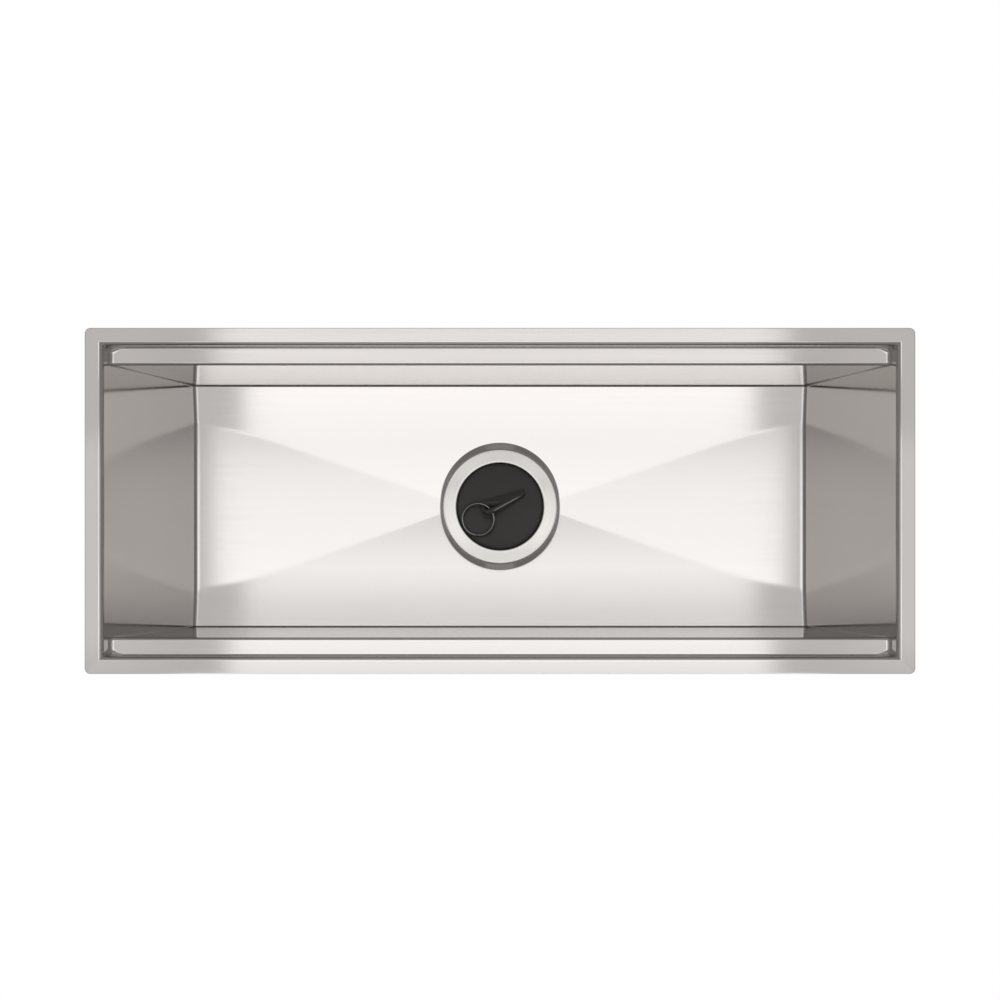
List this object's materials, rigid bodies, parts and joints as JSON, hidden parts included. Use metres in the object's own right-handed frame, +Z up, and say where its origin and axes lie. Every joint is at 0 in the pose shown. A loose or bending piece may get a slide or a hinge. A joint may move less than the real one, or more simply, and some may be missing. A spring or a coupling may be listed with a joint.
{
  "type": "recessed trough sink",
  "caption": "Recessed stainless trough sink with stepped ledges, creased floor, round waste, lift-out rubber plug with pull ring, sound pads and swing clamps.",
  "frame": {"origin": "middle of the bowl's opening, level with the top face of the rim", "axes": "+X along the trough, +Y towards its back, +Z up"},
  "size_m": [0.72, 0.3, 0.34],
  "materials": {
    "sink_steel": "fine satin-brushed stainless sheet",
    "waste_steel": "polished stainless pressing",
    "ring_steel": "bright drawn wire",
    "clip_steel": "zinc-plated pressed steel",
    "nut_zinc": "dull nickel-plated die-cast zinc",
    "plug_rubber": "matt black moulded rubber",
    "seal_rubber": "matt black rubber",
    "seal_foam": "closed-cell foam",
    "sound_pad": "dark grey damping rubber",
    "fibre": "pressed brown fibre"
  },
  "bodies": {
    "sink": {"back_panel": "sink_steel", "front_panel": "sink_steel", "left_end_panel": "sink_steel", "right_end_panel": "sink_steel", "floor_pan": "sink_steel", "rim_seal": "seal_foam", "back_pad": "sound_pad", "front_pad": "sound_pad", "left_end_pad": "sound_pad", "right_end_pad": "sound_pad", "floor_pad_left": "sound_pad", "floor_pad_right": "sound_pad", "clip_brackets": "clip_steel", "clip_bolts": "clip_steel", "clip_nuts": "clip_steel", "waste_seal": "seal_rubber", "waste_body": "waste_steel", "waste_spigot": "waste_steel", "outlet_spider": "waste_steel", "waste_washer": "seal_rubber", "friction_ring": "fibre", "waste_locknut": "nut_zinc", "strainer_plate": "waste_steel", "strainer_screw": "waste_steel", "tailpiece_washer": "seal_rubber", "tailpiece": "waste_steel", "coupling_nut": "nut_zinc"},
    "plug": {"drain_plug": "plug_rubber"},
    "ring": {"pull_ring": "ring_steel"},
    "back_claw_1": {"claw_back_1": "clip_steel"},
    "back_claw_2": {"claw_back_2": "clip_steel"},
    "back_claw_3": {"claw_back_3": "clip_steel"},
    "back_claw_4": {"claw_back_4": "clip_steel"},
    "front_claw_1": {"claw_front_1": "clip_steel"},
    "front_claw_2": {"claw_front_2": "clip_steel"},
    "front_claw_3": {"claw_front_3": "clip_steel"},
    "front_claw_4": {"claw_front_4": "clip_steel"}
  },
  "joints": [
    {"name": "plug_lift", "type": "slide", "parent": "sink", "child": "plug", "axis": [0, 0, 1], "range_m": [0, 0.24]},
    {"name": "ring_swing", "type": "hinge", "parent": "plug", "child": "ring", "pos_m": [-0.01069, -0.00201, -0.18083], "axis": [-0.7071, 0.7071, 0], "range_deg": [0, 185]},
    {"name": "claw_swing_back_1", "type": "hinge", "parent": "sink", "child": "back_claw_1", "pos_m": [-0.27, 0.13, -0.0365], "axis": [0, 0, 1], "range_deg": [0, 90]},
    {"name": "claw_swing_back_2", "type": "hinge", "parent": "sink", "child": "back_claw_2", "pos_m": [-0.09, 0.13, -0.0365], "axis": [0, 0, 1], "range_deg": [0, 90]},
    {"name": "claw_swing_back_3", "type": "hinge", "parent": "sink", "child": "back_claw_3", "pos_m": [0.09, 0.13, -0.0365], "axis": [0, 0, 1], "range_deg": [0, 90]},
    {"name": "claw_swing_back_4", "type": "hinge", "parent": "sink", "child": "back_claw_4", "pos_m": [0.27, 0.13, -0.0365], "axis": [0, 0, 1], "range_deg": [0, 90]},
    {"name": "claw_swing_front_1", "type": "hinge", "parent": "sink", "child": "front_claw_1", "pos_m": [-0.27, -0.13, -0.0365], "axis": [0, 0, -1], "range_deg": [0, 90]},
    {"name": "claw_swing_front_2", "type": "hinge", "parent": "sink", "child": "front_claw_2", "pos_m": [-0.09, -0.13, -0.0365], "axis": [0, 0, -1], "range_deg": [0, 90]},
    {"name": "claw_swing_front_3", "type": "hinge", "parent": "sink", "child": "front_claw_3", "pos_m": [0.09, -0.13, -0.0365], "axis": [0, 0, -1], "range_deg": [0, 90]},
    {"name": "claw_swing_front_4", "type": "hinge", "parent": "sink", "child": "front_claw_4", "pos_m": [0.27, -0.13, -0.0365], "axis": [0, 0, -1], "range_deg": [0, 90]}
  ]
}
